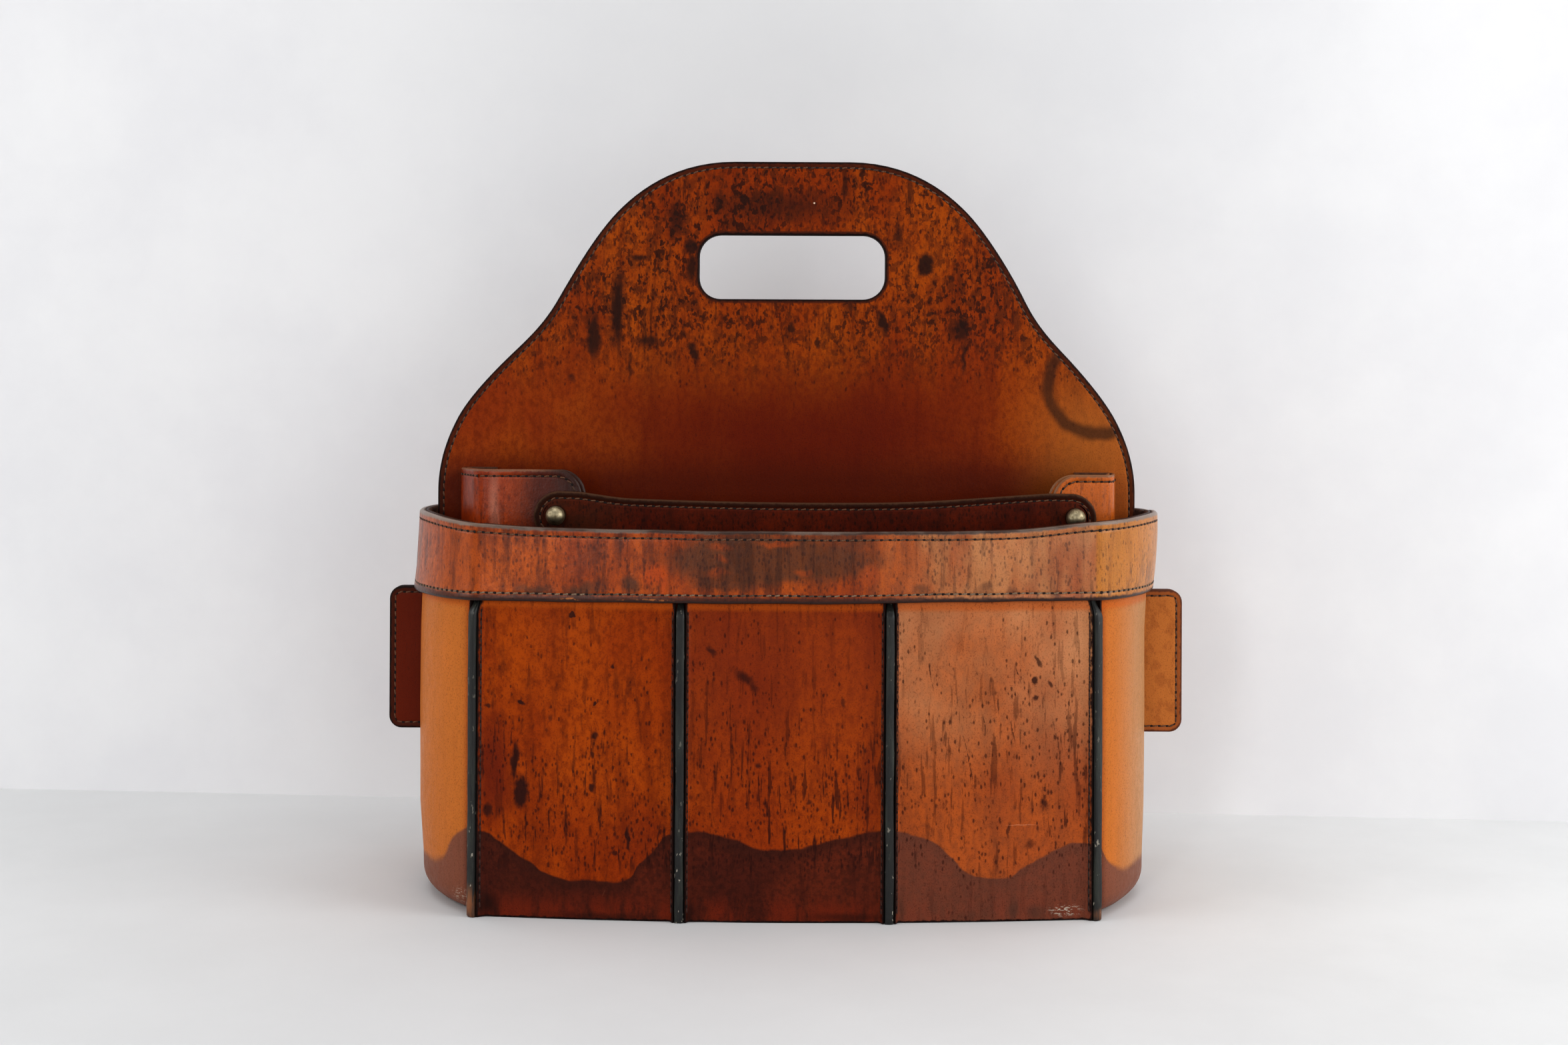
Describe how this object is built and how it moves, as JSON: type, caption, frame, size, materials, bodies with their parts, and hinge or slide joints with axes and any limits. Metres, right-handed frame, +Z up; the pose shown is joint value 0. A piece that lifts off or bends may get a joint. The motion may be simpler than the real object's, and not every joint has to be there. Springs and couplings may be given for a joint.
{
  "type": "tool pouch",
  "caption": "Open oval leather tool tub with raised black seam welts, a stitched rim band, a tall stiff divider with a hand hole, side ears and a tool strap on ball studs.",
  "frame": {"origin": "middle of the base, on the surface that it stands on", "axes": "+X to the user's right along the length, +Y to the rear, +Z up; the strap side faces -Y"},
  "size_m": [0.4132, 0.1626, 0.3753],
  "materials": {
    "tan_leather": "waxed orange-brown hide, worn, scratched and stained",
    "brown_leather": "waxed red-brown hide with dark specks",
    "dark_leather": "handled dark brown hide, satin",
    "black_leather": "green-black hide, satin, rubbed on its edge",
    "fibre_board": "plain pressed fibre board",
    "nickel": "tarnished pale nickel on brass"
  },
  "bodies": {
    "pouch": {"front_panel_left": "tan_leather", "front_panel_center": "tan_leather", "front_panel_right": "tan_leather", "rear_panel_left": "tan_leather", "rear_panel_center": "tan_leather", "rear_panel_right": "tan_leather", "end_wall_left": "tan_leather", "end_wall_right": "tan_leather", "rim_band": "tan_leather", "divider_front_leather": "brown_leather", "divider_rear_leather": "brown_leather", "base_sole": "brown_leather", "bracket_left_outer": "dark_leather", "bracket_left_lining": "dark_leather", "bracket_right_outer": "dark_leather", "bracket_right_lining": "dark_leather", "strap_end_face": "dark_leather", "strap_end_lining": "dark_leather", "front_welt_corner_left": "black_leather", "front_welt_left": "black_leather", "front_welt_right": "black_leather", "front_welt_corner_right": "black_leather", "rear_welt_corner_left": "black_leather", "rear_welt_left": "black_leather", "rear_welt_right": "black_leather", "rear_welt_corner_right": "black_leather", "base_board": "fibre_board", "divider_core_board": "fibre_board", "stud_left": "nickel", "stud_right": "nickel", "stud_screw_left": "nickel", "stud_screw_right": "nickel"},
    "strap": {"strap_face": "dark_leather", "strap_lining": "dark_leather"}
  },
  "joints": [
    {"name": "strap_flex", "type": "hinge", "parent": "pouch", "child": "strap", "pos_m": [0.128, -0.0333, 0.1925], "axis": [0, 0, 1], "range_deg": [0, 7]}
  ]
}
